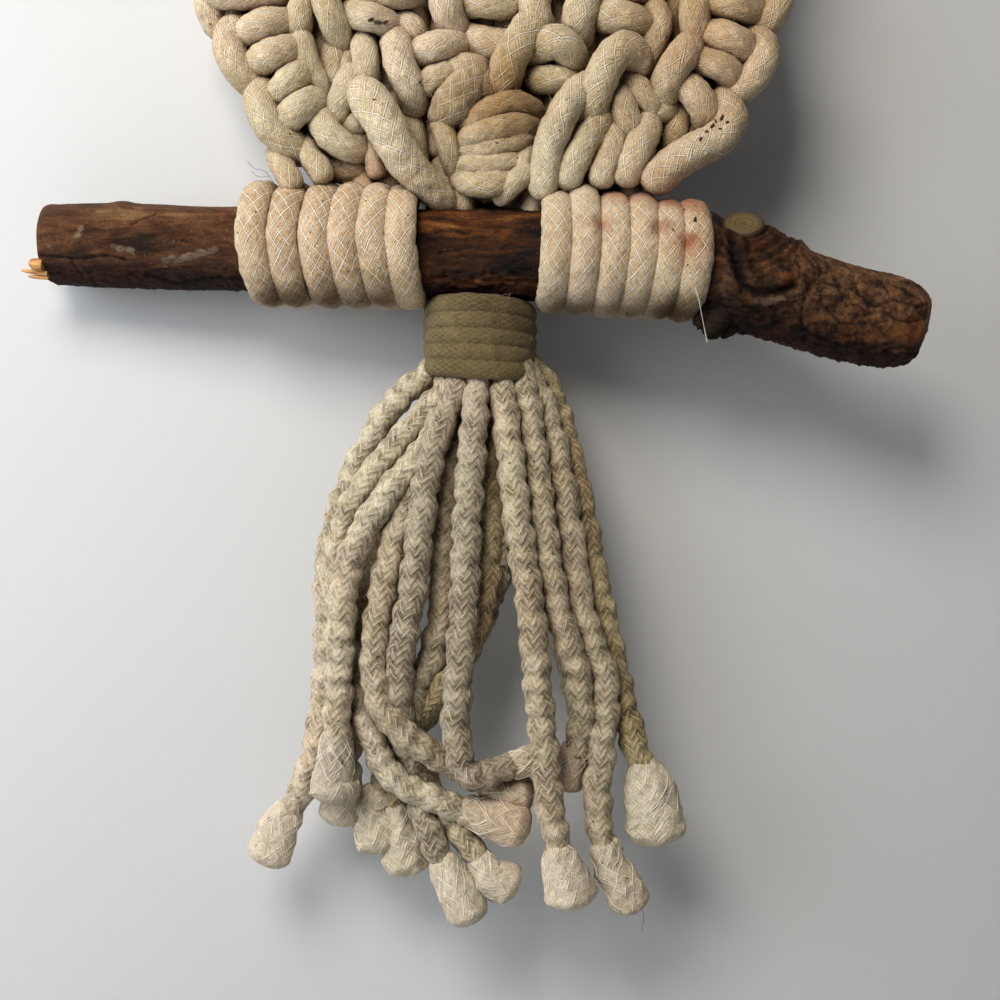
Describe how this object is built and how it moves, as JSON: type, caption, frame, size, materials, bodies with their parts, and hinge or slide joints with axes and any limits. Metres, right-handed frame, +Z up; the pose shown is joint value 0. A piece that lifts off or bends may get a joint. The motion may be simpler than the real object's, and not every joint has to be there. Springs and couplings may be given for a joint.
{
  "type": "macrame wall hanging on a branch perch",
  "caption": "Lower part of a thick cotton macrame wall hanging, knotted body with cord feet wound on a natural branch perch and a gathered tail tassel.",
  "frame": {"origin": "middle of the panel's straight top edge, where the hanging is held", "axes": "+Z up, front facing -Y, +X along the branch to the right seen from the front"},
  "size_m": [0.1815, 0.0281, 0.2172],
  "materials": {
    "bark": "natural bark, rough, satin where the outer bark has worn off",
    "wound_cord": "matt braided cotton cord, warm cream",
    "gathering_cord": "matt braided cotton cord, flattened, aged olive cream",
    "knotted_cord": "matt braided cotton cord, cream",
    "tassel_cord": "matt braided cotton cord, crimped, aged cream, frayed ends"
  },
  "bodies": {
    "root": {"branch": "bark", "foot_wrap_left": "wound_cord", "foot_wrap_right": "wound_cord", "gathering_wrap": "gathering_cord", "knot_panel": "knotted_cord", "tail_tassel": "tassel_cord"}
  },
  "joints": []
}
